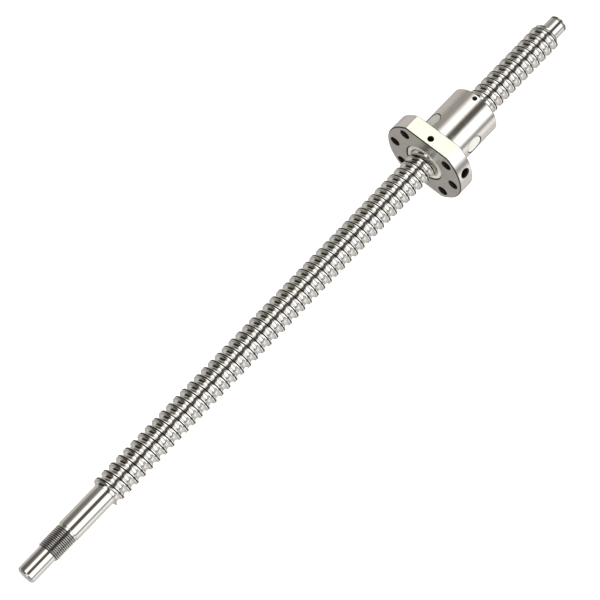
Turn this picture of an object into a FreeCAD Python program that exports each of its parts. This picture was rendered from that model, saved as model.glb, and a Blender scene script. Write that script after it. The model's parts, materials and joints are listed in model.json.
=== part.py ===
import FreeCAD, Part
import math
import os

from FreeCAD import Vector

# Ball screw assembly: a right-hand ball screw with machined ends and a flanged nut.
# Frame, in millimetres: +X is the screw axis, from the centre of the drive end's face.
# +Z is the normal of the flange's upper flat. An angle is measured about +X from +Y towards +Z.
# A distance "into the nut" is measured from the flange's front face, along +X.

# Ball track, shared by the screw, the nut, the wipers and the balls
LEAD = 5.0
BALL_RADIUS = 1.5875
BALL_CIRCLE_RADIUS = 8.25
TRACK_RADIUS = 1.70
TRACK_PHASE = 3.25              # x of a track centre in the +Y half-plane, less whole leads

# Screw shaft
SCREW_RADIUS = 8.0
DRIVE_JOURNAL_RADIUS = 5.0
DRIVE_JOURNAL_LENGTH = 15.0
LOCK_THREAD_RADIUS = 5.95       # M12 x 1, less its allowance
LOCK_THREAD_PITCH = 1.0
LOCK_THREAD_LENGTH = 14.0       # with its relief
LOCK_RELIEF_WIDTH = 0.8
LOCK_RELIEF_RADIUS = 5.3
LOCK_THREAD_CHAMFER = 0.5
FIXED_JOURNAL_RADIUS = 6.0
FIXED_JOURNAL_LENGTH = 25.0
BALL_THREAD_LENGTH = 336.0
FLOAT_JOURNAL_RADIUS = 5.0
FLOAT_JOURNAL_LENGTH = 10.0
RING_GROOVE_RADIUS = 4.8
RING_GROOVE_WIDTH = 1.15
RING_GROOVE_OFFSET = 8.0        # from the shoulder to the groove
DRIVE_END_CHAMFER = 0.8
FLOAT_END_CHAMFER = 0.4
THREAD_END_CHAMFER = 0.4

# Nut body
NUT_START = 289.4               # x of the flange's front face at rest
NUT_LENGTH = 42.0
NUT_BORE_RADIUS = 8.5
FLANGE_RADIUS = 24.0
FLANGE_THICKNESS = 10.0
FLANGE_WIDTH = 40.0             # across the two flats
FLANGE_EDGE_CHAMFER = 0.4
BARREL_RADIUS = 14.0
BARREL_END_CHAMFER = 0.8
BOLT_CIRCLE_RADIUS = 19.0
BOLT_HOLE_RADIUS = 2.75
BOLT_HOLE_ANGLES = (0, 45, 135, 180, 225, 315)
WIPER_SEAT_RADIUS = 11.3
FRONT_SEAT_DEPTH = 5.4
REAR_SEAT_DEPTH = 4.4
SEAT_CHAMFER = 0.3

# Lubrication port in the flange's rim
PORT_ANGLE = 157.5
PORT_RADIUS = 2.5               # tapping size of M6
PORT_INTO_NUT = 5.0
PORT_FLOOR_RADIUS = 16.5        # from the screw axis
PORT_CHAMFER = 0.4
OIL_HOLE_RADIUS = 1.0
OIL_HOLE_END_INTO_NUT = 9.2

# Wipers
WIPER_RADIUS = 11.0
WIPER_RECESS = 0.3
WIPER_CHAMFER = 0.3
FRONT_WIPER_LENGTH = 4.9
FRONT_WIPER_BORE_RADIUS = 8.12
WIPER_RIB_RADIUS = 1.5          # section of the rib that runs in the screw's track
REAR_WIPER_LENGTH = 3.9
REAR_WIPER_BORE_RADIUS = 8.3

# Set screws that hold the wipers
SCREW_SIDE_GAP = 0.05
FRONT_SCREW_HOLE_RADIUS = 1.65
FRONT_SCREW_INTO_NUT = 3.7
FRONT_SCREW_LENGTH = 5.0
FRONT_SCREW_SOCKET = 2.0        # across the flats of the hexagon
REAR_SCREW_HOLE_RADIUS = 1.25
REAR_SCREW_INTO_NUT = 39.2
REAR_SCREW_LENGTH = 2.3
REAR_SCREW_SOCKET = 1.5
SET_SCREW_TIP_HEIGHT = 11.2     # above the screw axis
SET_SCREW_TIP_SHARE = 1 / 3     # of the radius that the tip's chamfer takes
SOCKET_DEPTH_SHARE = 0.45       # of a set screw's length

# Ball circuits: each closes on itself through a return insert
CIRCUIT_ANGLES = (47.0, 167.0, 287.0)
FIRST_CIRCUIT_INTO_NUT = 17.003
BALLS_PER_CIRCUIT = 17
CROSSOVER_HALF_ANGLE = 30.0     # over this the balls cross the land to the next turn
LIFT_HALF_ANGLE = 33.0          # over this they are lifted clear of the land
LIFT = 1.60
CROSSOVER_CUT_RADIUS = 1.75
CROSSOVER_CUT_HALF_ANGLE = 38.0
WINDOW_HALF_WIDTH = 4.5
WINDOW_HALF_LENGTH = 5.25
INSERT_GAP = 0.15
INSERT_RECESS = 0.08

# How the helical faces are drawn
POINTS_PER_TURN = 32
POINTS_PER_ARC = 8
POINTS_PER_LINE = 3
CROSSOVER_STEPS = 19
SEAM_ANGLE = math.radians(20)
SEWING_TOLERANCE = 1e-4

# How far a cutting shape reaches past the face that it opens
OVERSHOOT = 1.0

ORIGIN = Vector(0, 0, 0)
X_AXIS = Vector(1, 0, 0)
FULL_TURN = 2 * math.pi

LOCK_THREAD_START = DRIVE_JOURNAL_LENGTH
FIXED_JOURNAL_START = LOCK_THREAD_START + LOCK_THREAD_LENGTH
BALL_THREAD_START = FIXED_JOURNAL_START + FIXED_JOURNAL_LENGTH
FLOAT_JOURNAL_START = BALL_THREAD_START + BALL_THREAD_LENGTH
SCREW_END = FLOAT_JOURNAL_START + FLOAT_JOURNAL_LENGTH
NUT_END = NUT_START + NUT_LENGTH
CIRCUIT_SPACING = LEAD * (1 + 1 / 3)


def turned(outline):
    """Solid of revolution about the screw axis from (x, radius) corners."""
    corners = [Vector(x, radius, 0) for x, radius in outline]
    face = Part.Face(Part.makePolygon(corners + [corners[0]]))
    return face.revolve(ORIGIN, X_AXIS, 360)


def rod(radius, start, end, start_chamfer=0.0, end_chamfer=0.0):
    """Round bar on the screw axis, with chamfered ends where they are asked for."""
    outline = [(start, 0), (start, radius - start_chamfer)]
    if start_chamfer:
        outline.append((start + start_chamfer, radius))
    if end_chamfer:
        outline.append((end - end_chamfer, radius))
    outline += [(end, radius - end_chamfer), (end, 0)]
    return turned(outline)


def at_angle(shape, degrees):
    """Turns a shape about the screw axis from the +Y direction to this angle."""
    shape.rotate(ORIGIN, X_AXIS, degrees)
    return shape


def radial_bar(radius, x, angle, inner, outer):
    """Round bar that points outwards from the screw axis."""
    bar = Part.makeCylinder(radius, outer - inner, Vector(x, inner, 0), Vector(0, 1, 0))
    return at_angle(bar, angle)


# Helical threads


def helix_point(offset, radius, angle, pitch, phase):
    """Point at this axial offset from a right-hand helix, in the half-plane at this angle."""
    x = phase + pitch * angle / FULL_TURN + offset
    return Vector(x, radius * math.cos(angle), radius * math.sin(angle))


def helical_strip(section, pitch, phase):
    """One turn of the face that a section, as (axial offset, radius) points, sweeps."""
    rows = []
    for i in range(POINTS_PER_TURN + 1):
        angle = SEAM_ANGLE + FULL_TURN * i / POINTS_PER_TURN
        rows.append([helix_point(offset, radius, angle, pitch, phase) for offset, radius in section])
    surface = Part.BSplineSurface()
    surface.interpolate(rows)
    return surface.toShape()


def closing_step(sections, pitch, phase):
    """Flat face in the seam's half-plane, between the axis and one pitch of the profile."""
    edges = []
    for section in sections:
        points = [helix_point(offset, radius, SEAM_ANGLE, pitch, phase) for offset, radius in section]
        curve = Part.BSplineCurve()
        curve.interpolate(points)
        edges.append(curve.toShape())
    first_offset, radius = sections[0][0]
    corners = []
    for offset, height in ((0, radius), (0, 0), (pitch, 0), (pitch, radius)):
        corners.append(helix_point(first_offset + offset, height, SEAM_ANGLE, pitch, phase))
    edges += [Part.makeLine(a, b) for a, b in zip(corners, corners[1:])]
    return Part.Face(Part.Wire(Part.__sortEdges__(edges)))


def straight_section(start, end):
    """Evenly spread points between two (axial offset, radius) points."""
    points = []
    for i in range(POINTS_PER_LINE + 1):
        share = i / POINTS_PER_LINE
        points.append((start[0] + (end[0] - start[0]) * share, start[1] + (end[1] - start[1]) * share))
    return points


def threaded_rod(sections, pitch, phase, start, end, chamfers=(0.0, 0.0)):
    """Threaded bar between two planes. The sections together make one pitch of its profile."""
    first = math.floor((start - phase) / pitch) - 2
    last = math.ceil((end - phase) / pitch) + 2
    strips = [helical_strip(section, pitch, phase) for section in sections]
    faces = []
    for turn in range(first, last):
        faces += [strip.translated(X_AXIS * (pitch * turn)) for strip in strips]
    edge_offset, edge_radius = sections[0][0]
    ramp = helical_strip(straight_section((edge_offset, 0), (edge_offset, edge_radius)), pitch, phase)
    step = closing_step(sections, pitch, phase)
    for turn in (first, last):
        faces.append(ramp.translated(X_AXIS * (pitch * turn)))
        faces.append(step.translated(X_AXIS * (pitch * turn)))
    shell = Part.makeShell(faces)
    shell.sewShape(SEWING_TOLERANCE)
    solid = Part.makeSolid(shell.Shells[0])
    if solid.Volume < 0:
        solid.reverse()
    widest = max(radius for section in sections for offset, radius in section)
    sleeve_chamfers = [chamfer + OVERSHOOT if chamfer else 0.0 for chamfer in chamfers]
    return solid.common(rod(widest + OVERSHOOT, start, end, *sleeve_chamfers))


def track_sections(section_radius, land_radius, side):
    """One lead of a ball track's profile: side -1 is a groove below the land, +1 a ridge above it."""
    lead_angle = math.atan(LEAD / (FULL_TURN * BALL_CIRCLE_RADIUS))
    half_width = section_radius / math.cos(lead_angle)
    land_height = side * (land_radius - BALL_CIRCLE_RADIUS)
    reach = math.acos(land_height / section_radius)
    track = []
    for i in range(POINTS_PER_ARC + 1):
        across = reach * (2 * i / POINTS_PER_ARC - 1)
        radius = BALL_CIRCLE_RADIUS + side * section_radius * math.cos(across)
        track.append((half_width * math.sin(across), radius))
    edge = track[-1][0]
    land = straight_section((edge, land_radius), (LEAD - edge, land_radius))
    return [track, land]


def fine_thread_sections(crest_radius, pitch):
    """One pitch of a 60 degree thread with flat crests and roots."""
    crest = pitch / 8
    root = pitch / 4
    flank = (pitch - crest - root) / 2
    root_radius = crest_radius - flank / math.tan(math.radians(30))
    corners = [
        (0, root_radius),
        (root, root_radius),
        (root + flank, crest_radius),
        (root + flank + crest, crest_radius),
        (pitch, root_radius),
    ]
    return [straight_section(a, b) for a, b in zip(corners, corners[1:])]


# Ball circuits


def ease_in_out(u):
    """Smooth step from 0 to 1, with no curvature at its ends."""
    u = min(max(u, 0.0), 1.0)
    return u * u * u * (u * (6 * u - 15) + 10)


def rise(u):
    """Smooth step from 0 to 1."""
    u = min(max(u, 0.0), 1.0)
    return u * u * (3 - 2 * u)


def circuit_centre(circuit):
    """x of the land that a circuit crosses."""
    return NUT_START + FIRST_CIRCUIT_INTO_NUT + CIRCUIT_SPACING * circuit


def circuit_point(circuit, degrees):
    """Where a ball's centre is, at -180 to 180 degrees from the middle of the circuit's crossover."""
    across = ease_in_out((degrees / CROSSOVER_HALF_ANGLE + 1) / 2)
    x = circuit_centre(circuit) + LEAD * (0.5 - across + degrees / 360)
    radius = BALL_CIRCLE_RADIUS + LIFT * rise(1 - abs(degrees) / LIFT_HALF_ANGLE)
    angle = math.radians(CIRCUIT_ANGLES[circuit] + degrees)
    return Vector(x, radius * math.cos(angle), radius * math.sin(angle))


def ball_centres(circuit):
    """Centres of a circuit's balls, evenly spread along its closed path."""
    points = [circuit_point(circuit, degrees / 2) for degrees in range(-360, 361)]
    travelled = [0.0]
    for a, b in zip(points, points[1:]):
        travelled.append(travelled[-1] + (b - a).Length)
    spacing = travelled[-1] / BALLS_PER_CIRCUIT
    centres = []
    for ball in range(BALLS_PER_CIRCUIT):
        wanted = spacing * (ball + 0.5)
        i = next(i for i, length in enumerate(travelled) if length >= wanted)
        part = (wanted - travelled[i - 1]) / (travelled[i] - travelled[i - 1])
        centres.append(points[i - 1] + (points[i] - points[i - 1]) * part)
    return centres


def crossover_cut(circuit):
    """The channel that the balls need where they cross from one turn to the next."""
    points = []
    for i in range(CROSSOVER_STEPS + 1):
        degrees = CROSSOVER_CUT_HALF_ANGLE * (2 * i / CROSSOVER_STEPS - 1)
        points.append(circuit_point(circuit, degrees))
    path = Part.BSplineCurve()
    path.interpolate(points)
    circle = Part.Circle(points[0], path.tangent(path.FirstParameter)[0], CROSSOVER_CUT_RADIUS)
    spine = Part.Wire([path.toShape()])
    return spine.makePipeShell([Part.Wire([circle.toShape()])], True, False)


def window_prism(circuit, gap):
    """Bar with an oblong section that points outwards from the screw axis at a circuit's crossover."""
    end_radius = WINDOW_HALF_WIDTH - gap
    straight = WINDOW_HALF_LENGTH - WINDOW_HALF_WIDTH
    middle = circuit_centre(circuit)
    a = Vector(middle - straight, 0, end_radius)
    b = Vector(middle + straight, 0, end_radius)
    c = Vector(middle + straight, 0, -end_radius)
    d = Vector(middle - straight, 0, -end_radius)
    right = Vector(middle + straight + end_radius, 0, 0)
    left = Vector(middle - straight - end_radius, 0, 0)
    outline = Part.Wire([
        Part.makeLine(a, b),
        Part.Arc(b, right, c).toShape(),
        Part.makeLine(c, d),
        Part.Arc(d, left, a).toShape(),
    ])
    prism = Part.Face(outline).extrude(Vector(0, BARREL_RADIUS + OVERSHOOT, 0))
    return at_angle(prism, CIRCUIT_ANGLES[circuit])


# Sub-parts


def screw_shaft():
    drive = rod(DRIVE_JOURNAL_RADIUS, 0, DRIVE_JOURNAL_LENGTH, DRIVE_END_CHAMFER)
    relief_start = FIXED_JOURNAL_START - LOCK_RELIEF_WIDTH
    lock_thread = threaded_rod(
        fine_thread_sections(LOCK_THREAD_RADIUS, LOCK_THREAD_PITCH),
        LOCK_THREAD_PITCH, LOCK_THREAD_START, LOCK_THREAD_START, relief_start, (LOCK_THREAD_CHAMFER, 0.0),
    )
    relief = rod(LOCK_RELIEF_RADIUS, relief_start, FIXED_JOURNAL_START)
    fixed = rod(FIXED_JOURNAL_RADIUS, FIXED_JOURNAL_START, BALL_THREAD_START)
    thread = threaded_rod(
        track_sections(TRACK_RADIUS, SCREW_RADIUS, -1),
        LEAD, TRACK_PHASE, BALL_THREAD_START, FLOAT_JOURNAL_START, (THREAD_END_CHAMFER, THREAD_END_CHAMFER),
    )
    floating = rod(FLOAT_JOURNAL_RADIUS, FLOAT_JOURNAL_START, SCREW_END, 0, FLOAT_END_CHAMFER)
    groove_start = FLOAT_JOURNAL_START + RING_GROOVE_OFFSET
    groove_end = groove_start + RING_GROOVE_WIDTH
    ring = rod(FLOAT_JOURNAL_RADIUS + OVERSHOOT, groove_start, groove_end)
    floating = floating.cut(ring.cut(rod(RING_GROOVE_RADIUS, groove_start, groove_end)))
    return drive.fuse([lock_thread, relief, fixed, thread, floating])


def flange():
    half = FLANGE_WIDTH / 2
    edge = FLANGE_EDGE_CHAMFER
    end = NUT_START + FLANGE_THICKNESS
    disc = rod(FLANGE_RADIUS, NUT_START, end, edge, edge)
    outline = [
        (NUT_START, half - edge), (NUT_START + edge, half), (end - edge, half), (end, half - edge),
        (end, edge - half), (end - edge, -half), (NUT_START + edge, -half), (NUT_START, edge - half),
    ]
    corners = [Vector(x, -FLANGE_RADIUS, z) for x, z in outline]
    plate = Part.Face(Part.makePolygon(corners + [corners[0]])).extrude(Vector(0, 2 * FLANGE_RADIUS, 0))
    return disc.common(plate)


def wiper_seats():
    """The two counterbores, with the chamfers at their mouths."""
    front_floor = NUT_START + FRONT_SEAT_DEPTH
    rear_floor = NUT_END - REAR_SEAT_DEPTH
    mouth = WIPER_SEAT_RADIUS + SEAT_CHAMFER
    front = turned([
        (NUT_START - OVERSHOOT, 0), (NUT_START - OVERSHOOT, mouth), (NUT_START, mouth),
        (NUT_START + SEAT_CHAMFER, WIPER_SEAT_RADIUS), (front_floor, WIPER_SEAT_RADIUS), (front_floor, 0),
    ])
    rear = turned([
        (rear_floor, 0), (rear_floor, WIPER_SEAT_RADIUS), (NUT_END - SEAT_CHAMFER, WIPER_SEAT_RADIUS),
        (NUT_END, mouth), (NUT_END + OVERSHOOT, mouth), (NUT_END + OVERSHOOT, 0),
    ])
    return [front, rear]


def bolt_holes():
    holes = []
    for angle in BOLT_HOLE_ANGLES:
        centre = Vector(NUT_START - OVERSHOOT, BOLT_CIRCLE_RADIUS, 0)
        hole = Part.makeCylinder(BOLT_HOLE_RADIUS, FLANGE_THICKNESS + 2 * OVERSHOOT, centre, X_AXIS)
        holes.append(at_angle(hole, angle))
    return holes


def lubrication_port():
    """Tapped hole in the rim, and the slanted oil hole from its floor to the ball track."""
    x = NUT_START + PORT_INTO_NUT
    port = radial_bar(PORT_RADIUS, x, PORT_ANGLE, PORT_FLOOR_RADIUS, FLANGE_RADIUS + OVERSHOOT)
    mouth = Part.makeCone(
        PORT_RADIUS, PORT_RADIUS + 2 * PORT_CHAMFER, 2 * PORT_CHAMFER,
        Vector(x, FLANGE_RADIUS - PORT_CHAMFER, 0), Vector(0, 1, 0),
    )
    start = Vector(x, PORT_FLOOR_RADIUS + OVERSHOOT, 0)
    end = Vector(NUT_START + OIL_HOLE_END_INTO_NUT, NUT_BORE_RADIUS - OVERSHOOT / 2, 0)
    oil_hole = Part.makeCylinder(OIL_HOLE_RADIUS, (end - start).Length, start, end - start)
    return [port, at_angle(mouth, PORT_ANGLE), at_angle(oil_hole, PORT_ANGLE)]


def set_screw_holes():
    top = 90
    front_x = NUT_START + FRONT_SCREW_INTO_NUT
    rear_x = NUT_START + REAR_SCREW_INTO_NUT
    inside = WIPER_SEAT_RADIUS - OVERSHOOT
    return [
        radial_bar(FRONT_SCREW_HOLE_RADIUS, front_x, top, inside, FLANGE_RADIUS),
        radial_bar(REAR_SCREW_HOLE_RADIUS, rear_x, top, inside, BARREL_RADIUS + OVERSHOOT),
    ]


def nut_body():
    barrel = rod(BARREL_RADIUS, NUT_START + FLANGE_THICKNESS / 2, NUT_END, 0, BARREL_END_CHAMFER)
    body = flange().fuse(barrel)
    core = threaded_rod(
        track_sections(TRACK_RADIUS, NUT_BORE_RADIUS, 1), LEAD, TRACK_PHASE,
        NUT_START + FRONT_SEAT_DEPTH - OVERSHOOT / 2, NUT_END - REAR_SEAT_DEPTH + OVERSHOOT / 2,
    )
    body = body.cut(wiper_seats())
    body = body.cut(core)
    for hole in bolt_holes() + lubrication_port() + set_screw_holes():
        body = body.cut(hole)
    for circuit in range(len(CIRCUIT_ANGLES)):
        body = body.cut(crossover_cut(circuit))
        body = body.cut(window_prism(circuit, 0))
    return body


def return_insert(circuit):
    """Oblong plug, flush in the barrel, whose inner side carries the crossover channel."""
    start = circuit_centre(circuit) - WINDOW_HALF_LENGTH - OVERSHOOT
    end = circuit_centre(circuit) + WINDOW_HALF_LENGTH + OVERSHOOT
    plug = window_prism(circuit, INSERT_GAP)
    plug = plug.common(rod(BARREL_RADIUS - INSERT_RECESS, start, end))
    plug = plug.cut(rod(NUT_BORE_RADIUS, start, end))
    return plug.cut(crossover_cut(circuit))


def front_wiper():
    """Plastic ring with a helical rib that sweeps the screw's track."""
    start = NUT_START + WIPER_RECESS
    end = start + FRONT_WIPER_LENGTH
    ring = rod(WIPER_RADIUS, start, end, WIPER_CHAMFER, WIPER_CHAMFER)
    core = threaded_rod(
        track_sections(WIPER_RIB_RADIUS, FRONT_WIPER_BORE_RADIUS, -1), LEAD, TRACK_PHASE,
        start - OVERSHOOT, end + OVERSHOOT,
    )
    return ring.cut(core)


def rear_wiper():
    end = NUT_END - WIPER_RECESS
    start = end - REAR_WIPER_LENGTH
    ring = rod(WIPER_RADIUS, start, end, WIPER_CHAMFER, WIPER_CHAMFER)
    return ring.cut(rod(REAR_WIPER_BORE_RADIUS, start - OVERSHOOT, end + OVERSHOOT))


def hexagon(across_flats, x, height):
    """Hexagonal outline, level, around a vertical line through (x, 0)."""
    radius = across_flats / math.sqrt(3)
    corners = []
    for i in range(6):
        angle = math.radians(60 * i)
        corners.append(Vector(x + radius * math.cos(angle), radius * math.sin(angle), height))
    return Part.Face(Part.makePolygon(corners + [corners[0]]))


def set_screw(x, hole_radius, length, socket):
    """Headless screw that points down at a wiper, with a chamfered tip and a hexagon socket."""
    radius = hole_radius - SCREW_SIDE_GAP
    tip = radius * SET_SCREW_TIP_SHARE
    top = SET_SCREW_TIP_HEIGHT + length
    up = Vector(0, 0, 1)
    shank = Part.makeCylinder(radius, length - tip, Vector(x, 0, SET_SCREW_TIP_HEIGHT + tip), up)
    point = Part.makeCone(radius - tip, radius, tip, Vector(x, 0, SET_SCREW_TIP_HEIGHT), up)
    blank = shank.fuse(point).removeSplitter()
    depth = length * SOCKET_DEPTH_SHARE
    return blank.cut(hexagon(socket, x, top - depth).extrude(up * (depth + OVERSHOOT)))


def ball(centre):
    return Part.makeSphere(BALL_RADIUS, centre)


def main():
    os.makedirs("parts", exist_ok=True)
    parts = {
        "screw_shaft": screw_shaft(),
        "nut_body": nut_body(),
        "front_wiper": front_wiper(),
        "rear_wiper": rear_wiper(),
        "front_wiper_set_screw": set_screw(
            NUT_START + FRONT_SCREW_INTO_NUT, FRONT_SCREW_HOLE_RADIUS, FRONT_SCREW_LENGTH, FRONT_SCREW_SOCKET,
        ),
        "rear_wiper_set_screw": set_screw(
            NUT_START + REAR_SCREW_INTO_NUT, REAR_SCREW_HOLE_RADIUS, REAR_SCREW_LENGTH, REAR_SCREW_SOCKET,
        ),
    }
    for circuit in range(len(CIRCUIT_ANGLES)):
        parts[f"return_insert_{circuit + 1}"] = return_insert(circuit)
        for number, centre in enumerate(ball_centres(circuit), start=1):
            parts[f"ball_{circuit + 1}_{number:02d}"] = ball(centre)
    for name, shape in parts.items():
        shape.exportStep(f"parts/{name}.step")
        print(name, shape.isValid(), len(shape.Solids), round(shape.Volume, 2))


main()
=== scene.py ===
import json
import math
from collections import namedtuple

import bmesh
import bpy
import numpy as np
from mathutils import Matrix, Vector


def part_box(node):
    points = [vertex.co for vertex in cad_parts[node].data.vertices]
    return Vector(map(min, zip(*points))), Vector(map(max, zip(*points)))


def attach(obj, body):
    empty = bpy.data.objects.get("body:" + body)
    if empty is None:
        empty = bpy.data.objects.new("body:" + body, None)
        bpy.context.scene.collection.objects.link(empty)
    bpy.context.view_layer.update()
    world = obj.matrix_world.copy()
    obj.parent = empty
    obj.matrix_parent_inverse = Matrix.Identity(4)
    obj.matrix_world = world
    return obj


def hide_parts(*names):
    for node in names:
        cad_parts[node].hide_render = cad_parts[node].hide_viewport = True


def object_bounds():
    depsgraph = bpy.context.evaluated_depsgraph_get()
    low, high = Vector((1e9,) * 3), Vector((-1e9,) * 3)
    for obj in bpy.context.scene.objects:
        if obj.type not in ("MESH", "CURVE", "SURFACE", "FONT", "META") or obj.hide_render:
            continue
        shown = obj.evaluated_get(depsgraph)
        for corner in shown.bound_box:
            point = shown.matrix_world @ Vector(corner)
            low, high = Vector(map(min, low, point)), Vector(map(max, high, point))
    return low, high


# Looks of the ball screw assembly. Lengths are in metres.
# +X is the screw axis. An angle about it is measured from +Y towards +Z.

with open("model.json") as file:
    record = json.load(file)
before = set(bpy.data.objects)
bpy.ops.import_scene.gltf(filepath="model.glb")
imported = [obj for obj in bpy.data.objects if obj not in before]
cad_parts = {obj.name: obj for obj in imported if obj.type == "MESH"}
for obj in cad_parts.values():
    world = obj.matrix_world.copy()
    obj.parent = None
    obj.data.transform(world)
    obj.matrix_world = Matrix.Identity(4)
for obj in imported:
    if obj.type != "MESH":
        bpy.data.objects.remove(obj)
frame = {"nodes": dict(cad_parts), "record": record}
cad_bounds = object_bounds()

MM = 0.001
FULL_TURN = 2 * math.pi
X_AXIS = Vector((1, 0, 0))

# Places that the frame gives
SCREW_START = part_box("screw_shaft")[0].x
SCREW_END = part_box("screw_shaft")[1].x
NUT_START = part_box("nut_body")[0].x
NUT_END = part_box("nut_body")[1].x
FLANGE_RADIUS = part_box("nut_body")[1].y
FLAT_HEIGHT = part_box("nut_body")[1].z
MOUNTS = {mount["name"]: mount for mount in frame["record"]["mounts"]}
DRIVE_RADIUS = MOUNTS["drive_journal"]["dims"]["r_mm"] * MM
FIXED_RADIUS = MOUNTS["fixed_bearing_journal"]["dims"]["r_mm"] * MM
FLOAT_RADIUS = MOUNTS["floating_bearing_journal"]["dims"]["r_mm"] * MM
BARREL_RADIUS = MOUNTS["nut_barrel"]["dims"]["r_mm"] * MM
BOLT_HOLE_RADIUS = MOUNTS["flange_bolts_level"]["dims"]["hole_r_mm"] * MM
BOLT_CIRCLE_RADIUS = MOUNTS["flange_bolts_level"]["dims"]["spacing_x_mm"] * MM / 2
FLANGE_BACK = MOUNTS["flange_seat"]["pos_m"][0]
PORT_X = MOUNTS["lubrication_port"]["pos_m"][0]
PORT_RADIUS = MOUNTS["lubrication_port"]["dims"]["r_mm"] * MM

# Ball track
LEAD = 5.0 * MM
TRACK_PHASE = 3.25 * MM
BALL_CIRCLE_RADIUS = 8.25 * MM
TRACK_RADIUS = 1.70 * MM
LAND_FILLET = 0.15 * MM

# Screw shaft
SCREW_RADIUS = 8.0 * MM
SEAM_HALF_WIDTH = 0.34 * MM
SEAM_DEPTH = 0.18 * MM
DRIVE_LENGTH = 15.0 * MM
LOCK_THREAD_LENGTH = 14.0 * MM   # with its relief
LOCK_THREAD_PITCH = 1.0 * MM
LOCK_THREAD_RADIUS = 5.95 * MM
LOCK_ROOT_RADIUS = 5.41 * MM
LOCK_RELIEF_RADIUS = 5.3 * MM
LOCK_RELIEF_WIDTH = 0.8 * MM
LOCK_THREAD_CHAMFER = 0.5 * MM
FIXED_LENGTH = 25.0 * MM
FLOAT_LENGTH = 10.0 * MM
RING_GROOVE_OFFSET = 8.0 * MM    # from the shoulder to the groove
RING_GROOVE_WIDTH = 1.15 * MM
RING_GROOVE_RADIUS = 4.8 * MM
DRIVE_CHAMFER = 0.8 * MM
THREAD_CHAMFER = 0.4 * MM
EDGE_BREAK = 0.12 * MM
ROOT_SHADE_HEIGHT = 0.16 * MM            # how far up the fine thread's flanks the painted shade in its roots reaches

# The valley that thread rolling leaves along a crest: (distance from its middle, depth)
CREST_SEAM = (
    (SEAM_HALF_WIDTH, 0.0),
    (SEAM_HALF_WIDTH / 2, 0.8 * SEAM_DEPTH),
    (SEAM_HALF_WIDTH / 8, SEAM_DEPTH),
)
SEAM_FADE = 1.2                  # where the painted shade of a seam ends, in half widths of the seam
SEAM_HIGHLIGHT_END = 2.6                   # where the painted highlight beside it ends

# Places along the screw
LOCK_START = SCREW_START + DRIVE_LENGTH
FIXED_START = LOCK_START + LOCK_THREAD_LENGTH
LOCK_END = FIXED_START - LOCK_RELIEF_WIDTH
THREAD_START = FIXED_START + FIXED_LENGTH
THREAD_END = SCREW_END - FLOAT_LENGTH
GROOVE_START = THREAD_END + RING_GROOVE_OFFSET
GROOVE_END = GROOVE_START + RING_GROOVE_WIDTH

# Nut
NUT_BORE_RADIUS = 8.5 * MM
NUT_EDGE_CHAMFER = 0.5 * MM
BARREL_CHAMFER = 0.8 * MM
SEAT_RADIUS = 11.3 * MM
FRONT_SEAT_DEPTH = 5.4 * MM
REAR_SEAT_DEPTH = 4.4 * MM
SEAT_CHAMFER = 0.3 * MM
BOLT_HOLE_ANGLES = (0, 45, 135, 180, 225, 315)
PORT_ANGLE = 157.5
PORT_FLOOR = 16.5 * MM
SET_SCREW_ANGLE = 90
FRONT_SET_SCREW_INTO_NUT = 3.7 * MM
FRONT_SET_SCREW_HOLE = 1.65 * MM
REAR_SET_SCREW_INTO_NUT = 39.2 * MM
REAR_SET_SCREW_HOLE = 1.25 * MM
HOLE_CHAMFER = 0.25 * MM
SET_SCREW_CHAMFER = HOLE_CHAMFER / 2

# The nut's materials, by number
# the last two are dark materials that paint the shade in the holes and chamfers and the shadow in the gaps
# round the inserts
TURNED, FACED, FLAT, SHADE_PAINTED, GAP_SHADOW = range(5)

# Wipers and return inserts
WIPER_RADIUS = 11.0 * MM
WIPER_RECESS = 0.3 * MM
WIPER_BORE_RADIUS = 8.12 * MM
WIPER_RIB_RADIUS = 1.5 * MM      # section of the rib that runs in the screw's track
WIPER_MOUTH_RADIUS = 9.1 * MM
WIPER_EDGE = 0.3 * MM
FRONT_WIPER_LENGTH = 4.9 * MM
REAR_WIPER_LENGTH = 3.9 * MM
CIRCUIT_ANGLES = (47.0, 167.0, 287.0)
FIRST_CIRCUIT_INTO_NUT = 17.003 * MM
CIRCUIT_SPACING = LEAD * 4 / 3
WINDOW_HALF_WIDTH = 4.5 * MM
WINDOW_HALF_LENGTH = 5.25 * MM
INSERT_GAP = 0.35 * MM
INSERT_RECESS = 0.15 * MM
INSERT_EDGE = 0.5 * MM
INSERT_FACE_INSETS = (3.9 * MM, 3.1 * MM, 2.3 * MM, 1.5 * MM, 0.8 * MM)
GAP_SHADOW_DEPTH = 0.2 * MM           # how far below an insert's face the painted gap shadow round it starts

# How finely meshes are drawn
COLUMNS = 96
NUT_COLUMNS = 144
HOLE_SIDES = 48
OBLONG_STEPS = 16
TRACK_STEPS = 10
FILLET_STEPS = 3
INSERT_EDGE_STEPS = 4
OVERSHOOT = 1.0 * MM
MERGE_DISTANCE = 1e-6

# How normals tell one kind of surface from another
SHARP_ANGLE = math.radians(32)
LARGE_FACE_WEIGHT = 60           # how much large faces count in a shared normal, where 50 is neutral
NORMAL_MATCH = math.cos(math.radians(6))
NO_LEAN = 1e-4                   # most that the normal of a face square to an axis leans from it
SLANTED = (0.3, 0.9)             # x of a chamfer's normal
END_FACE = 0.99                  # least x of an end face's normal
LEVEL_FACE = 0.9999              # least z of a flat's normal

# Materials
NOISE_RANGE = (0.3, 0.7)         # where nearly all of a noise texture's values lie
LINE_DRIFT = 2e-5                # how far the grinding lines' noise moves on per radian round the screw
FLOOR_GLOW = 0.7

# Studio
FLOOR_DROP = 0.12
FLOOR_SIZE = 12.0

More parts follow.
